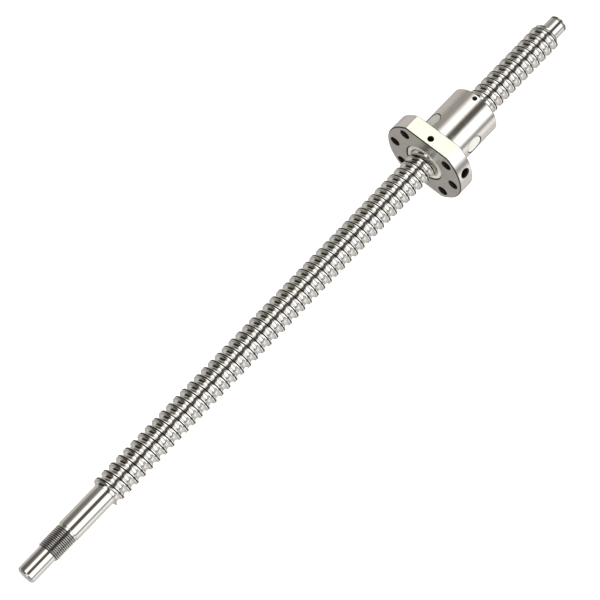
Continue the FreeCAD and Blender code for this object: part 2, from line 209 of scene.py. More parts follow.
# Long cards round the screw axis, each from one angle to another in degrees. A direction between two
# cards fades from one to the other. Red and blue are measured beside green.
Card = namedtuple("Card", "start end level red blue")
CARDS = (
    Card(-100, -45, 0.50, 1.06, 0.95),
    Card(-25, -4, 0.60, 1.06, 0.94),
    Card(24, 49, 0.37, 1.07, 0.92),
    Card(70, 90, 1.60, 1.01, 0.96),
    Card(99, 122, 0.10, 1.12, 0.80),
    Card(133, 167, 1.60, 1.0, 0.99),
    Card(179, 188, 0.36, 1.03, 0.97),
    Card(198, 208, 1.10, 1.03, 0.98),
    Card(228, 256, 0.72, 1.04, 0.96),
)

# How the cards dim towards the two ends: (x of a direction, share of their brightness)
DIMMING = (
    (-1.0, 1.0), (-0.95, 0.40), (-0.86, 0.25), (-0.66, 0.75), (-0.48, 1.0),
    (0.43, 1.0), (0.54, 0.72), (0.68, 0.48), (0.85, 0.30),
)

# A dark opening and a green screen towards the drive end. Each has a span in degrees and one in the
# x of a direction: its middle, the half width of its full strength and that of its fade
Patch = namedtuple("Patch", "degrees x level red blue")
DOORWAY = Patch((33, 22, 42), (-0.40, 0.44, 0.72), 0.02, 1.4, 0.6)
SCREEN = Patch((6, 15, 32), (-0.84, 0.09, 0.24), 0.20, 0.58, 0.64)

# Camera: it looks at a point on the screw's axis, from the drive end's side
VIEW_TARGET = Vector((0.1904, -0.0031, 0.0))
VIEW_DISTANCE = 1.0495
VIEW_AZIMUTH = math.radians(-139.16)
VIEW_ELEVATION = math.radians(65.12)
VIEW_ROLL = math.radians(-0.297)
LENS = 128.05
SENSOR_WIDTH = 36.0
CLIP_START = 0.01
CLIP_END = 100.0


# Meshes of revolution and of helices


def new_object(name, vertices, faces):
    mesh = bpy.data.meshes.new(name)
    mesh.from_pydata([tuple(v) for v in vertices], [], faces)
    mesh.update()
    piece = bpy.data.objects.new(name, mesh)
    bpy.context.scene.collection.objects.link(piece)
    return piece


def round_rows(outline, columns):
    """One row of points round the screw axis per (x, radius) corner."""
    return [(np.full(columns + 1, x), np.full(columns + 1, r)) for x, r in outline]


def thread_rows(profile, pitch, phase, start, end, limit, columns):
    """Rows that follow a right-hand helix and stop at two planes.

    The profile is one pitch of (offset, radius) points, and limit(x, radius) trims the radius at x.
    """
    offsets = np.array([offset for offset, radius in profile])
    radii = np.array([radius for offset, radius in profile])
    angles = np.linspace(0, FULL_TURN, columns + 1)
    advance = phase + pitch * angles / FULL_TURN
    # a row can lie up to two pitches past the turn that it belongs to
    first = math.floor((start - phase) / pitch) - 2
    last = math.ceil((end - phase) / pitch) + 1
    rows = []
    for turn in range(first, last + 1):
        for offset in offsets:
            x = np.clip(advance + pitch * turn + offset, start, end)
            radius = np.interp(x - advance, offsets, radii, period=pitch)
            rows.append((x, limit(x, radius)))
    return rows


def skin(name, rows, closed=False):
    """Mesh between the rows, with the outside to the left of the direction in which they run."""
    columns = len(rows[0][0]) - 1
    angles = np.linspace(0, FULL_TURN, columns + 1)
    vertices = []
    for x, radius in rows:
        vertices += list(zip(x, radius * np.cos(angles), radius * np.sin(angles)))
    faces = []
    count = len(rows)
    for row in range(count if closed else count - 1):
        here = row * (columns + 1)
        there = ((row + 1) % count) * (columns + 1)
        for column in range(columns):
            faces.append((here + column, there + column, there + column + 1, here + column + 1))
    piece = new_object(name, vertices, faces)
    merge(piece.data)
    return piece


def merge(mesh):
    """Joins points that coincide and drops the faces that this leaves without area."""
    work = bmesh.new()
    work.from_mesh(mesh)
    bmesh.ops.remove_doubles(work, verts=work.verts, dist=MERGE_DISTANCE)
    bmesh.ops.dissolve_degenerate(work, edges=work.edges, dist=MERGE_DISTANCE)
    bmesh.ops.recalc_face_normals(work, faces=work.faces)
    work.to_mesh(mesh)
    work.free()
    mesh.update()


def shade(piece):
    """Smooth shading that stops at sharp edges and keeps flat faces flat."""
    piece.data.shade_smooth()
    piece.data.set_sharp_from_angle(angle=SHARP_ANGLE)
    weighted = piece.modifiers.new("normals", "WEIGHTED_NORMAL")
    weighted.keep_sharp = True
    weighted.weight = LARGE_FACE_WEIGHT
    apply_modifiers(piece)


def apply_modifiers(piece):
    depsgraph = bpy.context.evaluated_depsgraph_get()
    old = piece.data
    evaluated = piece.evaluated_get(depsgraph)
    piece.data = bpy.data.meshes.new_from_object(evaluated, depsgraph=depsgraph)
    piece.data.name = piece.name
    piece.modifiers.clear()
    bpy.data.meshes.remove(old)


def hand_over(piece, body, node):
    """Puts a finished piece on its body, in place of its CAD node."""
    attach(piece, body)
    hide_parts(node)


def track_profile(section_radius, land_radius, side, seam=()):
    """One lead of a ball track, from groove bottom to groove bottom, with its land's edges rounded.

    side is -1 where the material is inside the land's radius, and +1 where it is outside.
    seam adds (distance before the land's middle, depth) points.
    """
    land_height = side * (land_radius - BALL_CIRCLE_RADIUS)
    fillet_height = land_height + LAND_FILLET
    fillet_offset = math.sqrt((section_radius + LAND_FILLET) ** 2 - fillet_height ** 2)
    reach = math.atan2(fillet_offset, fillet_height)
    half = []
    for i in range(TRACK_STEPS // 2 + 1):
        across = reach * 2 * i / TRACK_STEPS
        height = section_radius * math.cos(across)
        half.append((section_radius * math.sin(across), BALL_CIRCLE_RADIUS + side * height))
    for i in range(1, FILLET_STEPS + 1):
        lean = reach * (1 - i / FILLET_STEPS)
        offset = fillet_offset - LAND_FILLET * math.sin(lean)
        height = fillet_height - LAND_FILLET * math.cos(lean)
        half.append((offset, BALL_CIRCLE_RADIUS + side * height))
    for before, depth in seam:
        half.append((LEAD / 2 - before, land_radius + side * depth))
    other_half = [(LEAD - offset, radius) for offset, radius in reversed(half)]
    return half + other_half[:-1]


def fine_thread_profile():
    """One pitch of the locknut thread, with flat crests and roots."""
    root = LOCK_THREAD_PITCH / 4
    crest = LOCK_THREAD_PITCH / 8
    flank = (LOCK_THREAD_PITCH - root - crest) / 2
    return [
        (0, LOCK_ROOT_RADIUS),
        (root, LOCK_ROOT_RADIUS),
        (root + flank, LOCK_THREAD_RADIUS),
        (root + flank + crest, LOCK_THREAD_RADIUS),
    ]


# Materials


Axes = namedtuple("Axes", "place x radius angle")


class Nodes:
    """A node tree that is put together step by step."""

    def __init__(self, tree):
        self.tree = tree

    def node(self, kind, inputs=(), **settings):
        made = self.tree.nodes.new(kind)
        for setting, value in settings.items():
            setattr(made, setting, value)
        for key, value in dict(inputs).items():
            self.feed(made.inputs[key], value)
        return made

    def feed(self, socket, value):
        if isinstance(value, bpy.types.NodeSocket):
            self.tree.links.new(value, socket)
        else:
            socket.default_value = value

    def math(self, operation, a, b=0.0):
        return self.node("ShaderNodeMath", {0: a, 1: b}, operation=operation).outputs[0]

    def noise(self, vector, scale, detail, roughness):
        inputs = {"Vector": vector, "Scale": scale, "Detail": detail, "Roughness": roughness}
        return self.node("ShaderNodeTexNoise", inputs).outputs["Fac"]

    def span(self, value, low, high, out_low=0.0, out_high=1.0, smooth=False):
        inputs = {"Value": value, "From Min": low, "From Max": high, "To Min": out_low, "To Max": out_high}
        kind = "SMOOTHSTEP" if smooth else "LINEAR"
        return self.node("ShaderNodeMapRange", inputs, interpolation_type=kind).outputs[0]

    def between(self, value, low, high):
        """1 where the value is between these two, and 0 elsewhere."""
        above = self.math("GREATER_THAN", value, low)
        below = self.math("LESS_THAN", value, high)
        return self.math("MULTIPLY", above, below)

    def mix(self, share, a, b, blend="MIX"):
        made = self.node("ShaderNodeMix", data_type="RGBA", blend_type=blend)
        self.feed(made.inputs[0], share)
        self.feed(made.inputs[6], a)
        self.feed(made.inputs[7], b)
        return made.outputs[2]


class Shader(Nodes):
    """A node material."""

    def __init__(self, name):
        self.material = bpy.data.materials.new(name)
        self.material.use_nodes = True
        super().__init__(self.material.node_tree)
        self.surface = self.tree.nodes["Principled BSDF"]

    def place(self):
        """The piece's own coordinates."""
        return self.node("ShaderNodeTexCoord").outputs["Object"]

    def axes(self):
        """The piece's own coordinates, with x, the radius from the screw axis and the angle about it."""
        place = self.place()
        x, y, z = self.node("ShaderNodeSeparateXYZ", {0: place}).outputs
        squares = self.math("ADD", self.math("MULTIPLY", y, y), self.math("MULTIPLY", z, z))
        return Axes(place, x, self.math("SQRT", squares), self.math("ARCTAN2", z, y))

    def bump(self, height, distance):
        inputs = {"Height": height, "Distance": distance, "Strength": 1.0}
        return self.node("ShaderNodeBump", inputs).outputs[0]

    def finish(self, colour, roughness, metallic=0.0, normal=None, **others):
        self.feed(self.surface.inputs["Base Color"], colour)
        self.feed(self.surface.inputs["Roughness"], roughness)
        self.feed(self.surface.inputs["Metallic"], metallic)
        if normal is not None:
            self.feed(self.surface.inputs["Normal"], normal)
        for name, value in others.items():
            self.feed(self.surface.inputs[name.replace("_", " ")], value)
        return self.material


def grey(level, warmth=0.0):
    """Near-neutral colour, warm when warmth is above 0."""
    return (level * (1 + warmth), level, level * (1 - 1.5 * warmth), 1.0)


def ground(shader, axes, bright, dull, roughness, line_depth):
    """Colour, roughness and normal of steel with grinding lines round the screw axis and faint stains."""
    drift = shader.math("MULTIPLY", axes.angle, LINE_DRIFT)
    lines_at = shader.node("ShaderNodeCombineXYZ", {0: axes.x, 1: drift, 2: axes.radius}).outputs[0]
    lines = shader.noise(lines_at, 9000.0, 3.0, 0.6)
    stains = shader.noise(axes.place, 140.0, 5.0, 0.6)
    rough_lines = shader.span(lines, *NOISE_RANGE, *roughness)
    rough_stains = shader.span(stains, 0.5, 0.75, 0.0, 0.06)
    colour = shader.mix(shader.span(stains, 0.35, 0.7), bright, dull)
    return colour, shader.math("ADD", rough_lines, rough_stains), shader.bump(lines, line_depth)


def grained(name, light, shaded, grain, roughness, metallic, depth, clouds=None, stretch=None, **others):
    """Material whose grain sets its roughness and relief, and whose clouds, or else its grain, tint it.

    grain and clouds are the (scale, detail, roughness) of a noise texture. stretch scales the grain's
    three axes.
    """
    shader = Shader(name)
    place = shader.place()
    grain_at = place
    if stretch:
        grain_at = shader.node("ShaderNodeMapping", {"Vector": place, "Scale": stretch}).outputs[0]
    fine = shader.noise(grain_at, *grain)
    tint = shader.noise(place, *clouds) if clouds else fine
    colour = shader.mix(shader.span(tint, *NOISE_RANGE), light, shaded)
    rough = shader.span(fine, *NOISE_RANGE, *roughness)
    return shader.finish(colour, rough, metallic, shader.bump(fine, depth), **others)


def seam_shade_and_highlight(shader, axes):
    """How much painted shade in the crest's seam and painted highlight on the lips beside it cover a point of
    the ball thread.
    """
    along = shader.math("DIVIDE", shader.math("SUBTRACT", axes.x, TRACK_PHASE), LEAD)
    turns = shader.math("SUBTRACT", along, shader.math("DIVIDE", axes.angle, FULL_TURN))
    from_middle = shader.math("ABSOLUTE", shader.math("SUBTRACT", shader.math("FRACT", turns), 0.5))
    half = SEAM_HALF_WIDTH / LEAD
    on_thread = shader.between(axes.x, THREAD_START, THREAD_END)
    # painted shade along the seam's valley, and a painted highlight on the lips beside it
    seam = shader.span(from_middle, half, SEAM_FADE * half, 1.0, 0.0)
    lip = shader.span(from_middle, SEAM_FADE * half, SEAM_HIGHLIGHT_END * half, 1.0, 0.0)
    return shader.math("MULTIPLY", seam, on_thread), shader.math("MULTIPLY", lip, on_thread)


def groove_shade(shader, axes):
    """How much painted shade lies in the fine thread's roots and in the ring groove."""
    low = shader.span(axes.radius, LOCK_ROOT_RADIUS + ROOT_SHADE_HEIGHT / 3, LOCK_ROOT_RADIUS + ROOT_SHADE_HEIGHT, 0.9, 0.0)
    root = shader.math("MULTIPLY", low, shader.between(axes.x, LOCK_START, LOCK_END))
    low = shader.span(axes.radius, RING_GROOVE_RADIUS, FLOAT_RADIUS, 0.7, 0.0)
    ring = shader.math("MULTIPLY", low, shader.between(axes.x, THREAD_END, SCREW_END - THREAD_CHAMFER))
    return shader.math("MAXIMUM", root, ring)


def screw_steel():
    """Polished shaft steel, with painted shade in the crest's seam, the fine thread's roots and the ring
    groove, and a painted highlight on the seam's lips.
    """
    shader = Shader("shaft_steel")
    axes = shader.axes()
    colour, roughness, normal = ground(
        shader, axes, grey(0.80, 0.01), grey(0.74, 0.025), roughness=(0.06, 0.11), line_depth=1.5e-6,
    )
    seam, lip = seam_shade_and_highlight(shader, axes)
    patchy = shader.span(shader.noise(axes.place, 700.0, 3.0, 0.6), 0.25, 0.45, 0.75, 1.0)
    painted_shade = shader.math("MULTIPLY", patchy, shader.math("MAXIMUM", seam, groove_shade(shader, axes)))
    # painted highlight on the seam's lips, then near-black painted shade in the seam, the roots and the ring
    # groove
    colour = shader.mix(lip, colour, grey(0.95))
    colour = shader.mix(painted_shade, colour, grey(0.012, 0.05))
    roughness = shader.math("ADD", roughness, shader.math("MULTIPLY", painted_shade, 0.4))
    return shader.finish(colour, roughness, 1.0, normal)


def nut_steel():
    """The nut's turned and ground surfaces."""
    shader = Shader("nut_steel")
    axes = shader.axes()
    colour, roughness, normal = ground(
        shader, axes, grey(0.78, 0.015), grey(0.72, 0.03), roughness=(0.13, 0.20), line_depth=2.5e-6,
    )
    return shader.finish(colour, roughness, 1.0, normal)


def flat_steel():
    """The flange's two flats: ground along the screw axis."""
    return grained(
        "flat_steel", (0.74, 0.72, 0.62, 1.0), (0.70, 0.68, 0.57, 1.0), grain=(6000.0, 3.0, 0.6),
        roughness=(0.10, 0.18), metallic=1.0, depth=1.5e-6, clouds=(160.0, 4.0, 0.6),
        stretch=(0.02, 1.0, 1.0),
    )


def face_steel():
    """End faces of the flange and the barrel: turned and matt."""
    return grained(
        "face_steel", grey(0.70, 0.02), grey(0.62, 0.03), grain=(2200.0, 4.0, 0.6),
        roughness=(0.30, 0.42), metallic=1.0, depth=4e-6, clouds=(160.0, 4.0, 0.6),
    )


def shade_painted_steel():
    """Painted shade: dark steel for the walls of drilled holes and for the chamfers that nut_surface gives
    this number.
    """
    return grained(
        "shade_painted_steel", grey(0.05, 0.03), grey(0.10, 0.05), grain=(1500.0, 4.0, 0.6),
        roughness=(0.45, 0.65), metallic=0.8, depth=1e-5,
    )


def gap_shadow_paint():
    """Painted shadow in the gaps round the return inserts: a near-black, matt colour."""
    return grained(
        "gap_shadow_paint", grey(0.012, 0.05), grey(0.035, 0.05), grain=(1800.0, 4.0, 0.6),
        roughness=(0.9, 0.9), metallic=0.0, depth=5e-6, Specular_IOR_Level=0.1,
    )


def black_oxide():
    return grained(
        "set_screw_steel", grey(0.012), grey(0.035, 0.05), grain=(2500.0, 4.0, 0.6),
        roughness=(0.40, 0.60), metallic=0.3, depth=6e-6,
    )


def polished_steel():
    return grained(
        "ball_steel", grey(0.82), grey(0.78, 0.01), grain=(900.0, 3.0, 0.5),
        roughness=(0.03, 0.07), metallic=1.0, depth=4e-7,
    )


def moulded_plastic(name, light, shaded, grain_scale, roughness, depth):
    """Moulded plastic: a fine spark-eroded grain, faint flow clouds and some light let in."""
    return grained(
        name, light, shaded, grain=(grain_scale, 5.0, 0.6), roughness=roughness, metallic=0.0, depth=depth,
        clouds=(220.0, 3.0, 0.5), Subsurface_Weight=0.15, Subsurface_Scale=0.6 * MM,
    )


def wiper_plastic():
    light, shaded = (0.97, 0.935, 0.85, 1.0), (0.92, 0.88, 0.795, 1.0)
    return moulded_plastic("wiper_plastic", light, shaded, 3000.0, (0.44, 0.56), 5e-6)


def insert_plastic():
    light, shaded = (0.96, 0.975, 0.90, 1.0), (0.90, 0.92, 0.84, 1.0)
    return moulded_plastic("insert_plastic", light, shaded, 2500.0, (0.29, 0.41), 4e-6)


def pale_floor():
    """Even, pale studio floor, bright enough to run into the backdrop."""
    shader = Shader("studio_floor")
    mottle = shader.noise(shader.place(), 12.0, 3.0, 0.5)
    colour = shader.mix(shader.span(mottle, *NOISE_RANGE), grey(0.86), grey(0.84))
    return shader.finish(colour, 0.9, Emission_Color=(1.0, 1.0, 1.0, 1.0), Emission_Strength=FLOOR_GLOW)


# Screw shaft


def end_limit(start, end, radius, start_chamfer, end_chamfer):
    """Trims a thread's radius to 45 degree chamfers at its two ends."""
    def limit(x, thread_radius):
        at_start = radius - start_chamfer + (x - start)
        at_end = radius - end_chamfer + (end - x)
        return np.minimum(thread_radius, np.minimum(at_start, at_end))
    return limit


def screw_shaft(material):
    rows = round_rows([
        (SCREW_START, 0), (SCREW_START, DRIVE_RADIUS - DRIVE_CHAMFER),
        (SCREW_START + DRIVE_CHAMFER, DRIVE_RADIUS), (LOCK_START, DRIVE_RADIUS),
    ], COLUMNS)
    rows += thread_rows(
        fine_thread_profile(), LOCK_THREAD_PITCH, LOCK_START, LOCK_START, LOCK_END,
        end_limit(LOCK_START, LOCK_END, LOCK_THREAD_RADIUS, LOCK_THREAD_CHAMFER, 0.0), COLUMNS,
    )
    rows += round_rows([
        (LOCK_END, LOCK_RELIEF_RADIUS), (FIXED_START, LOCK_RELIEF_RADIUS),
        (FIXED_START, FIXED_RADIUS - EDGE_BREAK), (FIXED_START + EDGE_BREAK, FIXED_RADIUS),
        (THREAD_START, FIXED_RADIUS),
    ], COLUMNS)
    rows += thread_rows(
        track_profile(TRACK_RADIUS, SCREW_RADIUS, -1, CREST_SEAM),
        LEAD, TRACK_PHASE, THREAD_START, THREAD_END,
        end_limit(THREAD_START, THREAD_END, SCREW_RADIUS, THREAD_CHAMFER, THREAD_CHAMFER), COLUMNS,
    )
    rows += round_rows([
        (THREAD_END, FLOAT_RADIUS), (GROOVE_START, FLOAT_RADIUS), (GROOVE_START, RING_GROOVE_RADIUS),
        (GROOVE_END, RING_GROOVE_RADIUS), (GROOVE_END, FLOAT_RADIUS),
        (SCREW_END - THREAD_CHAMFER, FLOAT_RADIUS), (SCREW_END, FLOAT_RADIUS - THREAD_CHAMFER),
        (SCREW_END, 0),
    ], COLUMNS)
    piece = skin("screw", rows)
    shade(piece)
    piece.data.materials.append(material)
    hand_over(piece, "screw", "screw_shaft")


# Nut body


Hole = namedtuple("Hole", "tool centre direction reach")


def bar(name, outline, origin, direction):
    """Solid of revolution about a line, from (distance along the line, radius) corners."""
    turns = [FULL_TURN * i / HOLE_SIDES for i in range(HOLE_SIDES)]
    vertices = [(0, 0, outline[0][0]), (0, 0, outline[-1][0])]
    for along, radius in outline:
        vertices += [(radius * math.cos(t), radius * math.sin(t), along) for t in turns]
    faces = []
    for i in range(HOLE_SIDES):
        j = (i + 1) % HOLE_SIDES
        faces.append((0, 2 + j, 2 + i))
        for ring in range(len(outline) - 1):
            here = 2 + ring * HOLE_SIDES
            there = here + HOLE_SIDES
            faces.append((here + i, here + j, there + j, there + i))
        last = 2 + (len(outline) - 1) * HOLE_SIDES
        faces.append((1, last + i, last + j))
    piece = new_object(name, vertices, faces)
    turn = Vector(direction).to_track_quat("Z", "Y").to_matrix().to_4x4()
    piece.data.transform(Matrix.Translation(origin) @ turn)
    return piece


def prism(name, outline, start, end, corner):
    """Solid between two copies of an outline, where corner(point, end) gives a corner's coordinates."""
    count = len(outline)
    vertices = [corner(point, start) for point in outline] + [corner(point, end) for point in outline]
    faces = [tuple(reversed(range(count))), tuple(range(count, 2 * count))]
    for i in range(count):
        j = (i + 1) % count
        faces.append((i, j, count + j, count + i))
    return new_object(name, vertices, faces)


def radial(angle):
    """Unit vector that points outwards from the screw axis."""
    return Vector((0, math.cos(math.radians(angle)), math.sin(math.radians(angle))))


def bolt_hole(angle):
    centre = Vector((NUT_START, 0, 0)) + radial(angle) * BOLT_CIRCLE_RADIUS
    depth = FLANGE_BACK - NUT_START
    wide = BOLT_HOLE_RADIUS + HOLE_CHAMFER
    outline = [
        (-OVERSHOOT, wide + OVERSHOOT), (HOLE_CHAMFER, BOLT_HOLE_RADIUS),
        (depth - HOLE_CHAMFER, BOLT_HOLE_RADIUS), (depth + OVERSHOOT, wide + OVERSHOOT),
    ]
    return Hole(bar("bolt_hole", outline, centre, X_AXIS), centre, X_AXIS, wide + OVERSHOOT)


def radial_hole(angle, x, radius, floor, surface, chamfer):
    """Hole that points at the screw axis, with a chamfered mouth at the surface's radius."""
    origin = Vector((x, 0, 0))
    wide = radius + chamfer + OVERSHOOT
    outline = [(floor, radius), (surface - chamfer, radius), (surface + OVERSHOOT, wide)]
    return Hole(bar("radial_hole", outline, origin, radial(angle)), origin, radial(angle), wide)


def nut_holes():
    """The bolt holes, the lubrication port and the two set-screw holes."""
    front = NUT_START + FRONT_SET_SCREW_INTO_NUT
    rear = NUT_START + REAR_SET_SCREW_INTO_NUT
    floor = SEAT_RADIUS - OVERSHOOT
    return [bolt_hole(angle) for angle in BOLT_HOLE_ANGLES] + [
        radial_hole(PORT_ANGLE, PORT_X, PORT_RADIUS, PORT_FLOOR, FLANGE_RADIUS, NUT_EDGE_CHAMFER),
        radial_hole(SET_SCREW_ANGLE, front, FRONT_SET_SCREW_HOLE, floor, FLAT_HEIGHT, SET_SCREW_CHAMFER),
        radial_hole(SET_SCREW_ANGLE, rear, REAR_SET_SCREW_HOLE, floor, BARREL_RADIUS, SET_SCREW_CHAMFER),
    ]


def oblong(half_length, half_width):
    """Outline of a slot that is long along its first axis."""
    straight = half_length - half_width
    points = []
    for side in (1, -1):
        for i in range(OBLONG_STEPS + 1):
            turn = math.pi * (i / OBLONG_STEPS - 0.5)
            along = straight + half_width * math.cos(turn)
            points.append((side * along, side * half_width * math.sin(turn)))
    return points


def circuit_frame(circuit):
    """Matrix from (along the screw axis, across, outwards) to the object's frame."""
    out = radial(CIRCUIT_ANGLES[circuit])
    middle = NUT_START + FIRST_CIRCUIT_INTO_NUT + CIRCUIT_SPACING * circuit
    turn = Matrix((X_AXIS, out.cross(X_AXIS), out)).transposed().to_4x4()
    return Matrix.Translation((middle, 0, 0)) @ turn


def window(circuit):
    """Oblong opening through the barrel's wall, for a return insert."""
    outline = oblong(WINDOW_HALF_LENGTH, WINDOW_HALF_WIDTH)
    piece = prism("window", outline, 0, BARREL_RADIUS + OVERSHOOT, lambda point, height: (*point, height))
    piece.data.transform(circuit_frame(circuit))
    return piece


def flats_block():
    """Chamfered slab whose two broad faces are the flange's flats."""
    half = FLAT_HEIGHT
    edge = NUT_EDGE_CHAMFER
    far = NUT_END + OVERSHOOT
    upper = [
        (far, half - edge), (FLANGE_BACK, half - edge), (FLANGE_BACK - edge, half),
        (NUT_START + edge, half), (NUT_START - OVERSHOOT, half - edge - OVERSHOOT),
    ]
    outline = [(x, -z) for x, z in reversed(upper)] + upper
    beyond = FLANGE_RADIUS + OVERSHOOT
    piece = prism("flats", outline, beyond, -beyond, lambda point, y: (point[0], y, point[1]))
    merge(piece.data)
    return piece


def nut_blank():
    """The nut before its flats, holes and windows, with its threaded bore."""
    front_floor = NUT_START + FRONT_SEAT_DEPTH
    rear_floor = NUT_END - REAR_SEAT_DEPTH
    edge = NUT_EDGE_CHAMFER
    rows = round_rows([
        (front_floor, SEAT_RADIUS), (NUT_START + SEAT_CHAMFER, SEAT_RADIUS),
        (NUT_START, SEAT_RADIUS + SEAT_CHAMFER), (NUT_START, FLANGE_RADIUS - edge),
        (NUT_START + edge, FLANGE_RADIUS), (FLANGE_BACK - edge, FLANGE_RADIUS),
        (FLANGE_BACK, FLANGE_RADIUS - edge), (FLANGE_BACK, BARREL_RADIUS),
        (NUT_END - BARREL_CHAMFER, BARREL_RADIUS), (NUT_END, BARREL_RADIUS - BARREL_CHAMFER),
        (NUT_END, SEAT_RADIUS + SEAT_CHAMFER), (NUT_END - SEAT_CHAMFER, SEAT_RADIUS),
        (rear_floor, SEAT_RADIUS),
    ], NUT_COLUMNS)
    bore = thread_rows(
        track_profile(TRACK_RADIUS, NUT_BORE_RADIUS, 1), LEAD, TRACK_PHASE, front_floor, rear_floor,
        lambda x, radius: radius, NUT_COLUMNS,
    )
    return skin("nut", rows + list(reversed(bore)), closed=True)


def combine(piece, tool, operation):
    """Boolean with a tool that is then thrown away. Faces keep their own material's number."""
    change = piece.modifiers.new("combine", "BOOLEAN")
    change.operation = operation
    change.solver = "EXACT"
    change.material_mode = "INDEX"
    change.object = tool
    bpy.context.view_layer.update()
    apply_modifiers(piece)
    bpy.data.objects.remove(tool)


def joined(tools, material_number):
    """One object of several that don't touch, all of its faces with this material number."""
    work = bmesh.new()
    for tool in tools:
        work.from_mesh(tool.data)
        bpy.data.objects.remove(tool)
    for face in work.faces:
        face.material_index = material_number
    mesh = bpy.data.meshes.new("tools")
    work.to_mesh(mesh)
    work.free()
    for number in range(material_number + 1):
        mesh.materials.append(None)
    piece = bpy.data.objects.new("tools", mesh)
    bpy.context.scene.collection.objects.link(piece)
    return piece


def mesh_values(items, attribute, width=1, kind=float):
    """One value, or one row of values, per item of a mesh."""
    values = np.zeros(len(items) * width, kind)
    items.foreach_get(attribute, values)
    return values.reshape(-1, width) if width > 1 else values


def revolved_normals(points, flat, direction, reach):
    """Normals of a surface of revolution at these points, and whether each point's face fits one.

    points are measured from a point on the axis, and flat holds their faces' normals.
    """
    from_axis = points - np.outer(points @ direction, direction)
    distance = np.linalg.norm(from_axis, axis=1)
    outwards = from_axis / np.maximum(distance, MERGE_DISTANCE)[:, None]
    along = flat @ direction
    sideways = flat - np.outer(along, direction)
    amount = np.linalg.norm(sideways, axis=1)
    lean = np.sum(sideways * outwards, axis=1)
    fits = (np.abs(lean) > NORMAL_MATCH * amount) & (distance < reach) | (amount < NO_LEAN)
    return np.outer(along, direction) + outwards * (np.sign(lean) * amount)[:, None], fits


def true_normals(mesh, axes):
    """Exact normals for faces on a surface of revolution about one of these axes.

    An axis is a point, a direction and how far from it such faces can be.
    """
    points = mesh_values(mesh.vertices, "co", 3)[mesh_values(mesh.loops, "vertex_index", kind=int)]
    starts = mesh_values(mesh.polygons, "loop_start", kind=int)
    sizes = mesh_values(mesh.polygons, "loop_total", kind=int)
    face_of = np.repeat(np.arange(len(mesh.polygons)), sizes)
    flat = mesh_values(mesh.polygons, "normal", 3)[face_of]
    normals = mesh_values(mesh.corner_normals, "vector", 3)
    settled = np.zeros(len(mesh.polygons), bool)
    for centre, direction, reach in axes:
        corrected, fits = revolved_normals(points - np.array(centre), flat, np.array(direction), reach)
        whole = np.minimum.reduceat(fits, starts) & ~settled
        use = whole[face_of]
        normals[use] = corrected[use]
        settled |= whole
    mesh.normals_split_custom_set(normals)


def nut_surface(face):
    """Which of the nut's materials a face outside its holes has."""
    from_axis = face.center.yz.length
    slanted = SLANTED[0] < abs(face.normal.x) < SLANTED[1]
    in_seat = SEAT_RADIUS - SEAT_CHAMFER < from_axis < SEAT_RADIUS + SEAT_CHAMFER
    at_front = face.center.x < NUT_START + NUT_EDGE_CHAMFER and from_axis > BARREL_RADIUS
    # the seat's walls and chamfers and the flange's front chamfers take the dark hole material: painted shade
    # in the gap and along the edge
    if in_seat or (slanted and at_front):
        return SHADE_PAINTED
    if abs(face.normal.x) > END_FACE:
        return FACED
    if abs(face.normal.z) > LEVEL_FACE and abs(face.center.z) > FLAT_HEIGHT - HOLE_CHAMFER:
        return FLAT
    return TURNED


def nut_body(materials):
    piece = nut_blank()
    combine(piece, flats_block(), "INTERSECT")
    for material in materials:
        piece.data.materials.append(material)
    holes = nut_holes()
    windows = [window(circuit) for circuit in range(len(CIRCUIT_ANGLES))]
    # the hole walls take the dark material that paints the shade in them
    combine(piece, joined([hole.tool for hole in holes], SHADE_PAINTED), "DIFFERENCE")
    # the window walls take the near-black material that paints the shadow in the gaps round the inserts
    combine(piece, joined(windows, GAP_SHADOW), "DIFFERENCE")
    piece.data.shade_smooth()
    piece.data.set_sharp_from_angle(angle=SHARP_ANGLE)
    axes = [(hole.centre, hole.direction, hole.reach) for hole in holes]
    true_normals(piece.data, axes + [(Vector(), X_AXIS, FLANGE_RADIUS + OVERSHOOT)])
    for face in piece.data.polygons:
        if face.material_index == TURNED:
            face.material_index = nut_surface(face)
    hand_over(piece, "nut", "nut_body")


# Wipers and inserts


def wiper(name, node, start, length, material):
    """Plastic ring whose lip follows the screw's track."""
    end = start + length
    edge = WIPER_EDGE
    rows = round_rows([
        (start, WIPER_RADIUS - edge), (start + edge, WIPER_RADIUS), (end - edge, WIPER_RADIUS),
        (end, WIPER_RADIUS - edge),
    ], COLUMNS)
    outer_end = start if start < (NUT_START + NUT_END) / 2 else end
    lip = thread_rows(
        track_profile(WIPER_RIB_RADIUS, WIPER_BORE_RADIUS, -1), LEAD, TRACK_PHASE, start, end,
        lambda x, radius: np.maximum(radius, WIPER_MOUTH_RADIUS - np.abs(x - outer_end)), COLUMNS,
    )
    piece = skin(name, rows + list(reversed(lip)), closed=True)
    shade(piece)
    piece.data.materials.append(material)
    hand_over(piece, "nut", node)


def insert_rings():
    """Rings of points on an insert, from its middle out: (inset from the rim, radius from the screw axis)."""
    top = BARREL_RADIUS - INSERT_RECESS
    rings = [(inset, top) for inset in INSERT_FACE_INSETS]
    for step in range(INSERT_EDGE_STEPS + 1):
        turn = math.pi / 2 * step / INSERT_EDGE_STEPS
        rings.append((INSERT_EDGE * (1 - math.sin(turn)), top - INSERT_EDGE * (1 - math.cos(turn))))
    rings.append((0.0, NUT_BORE_RADIUS))
    return rings


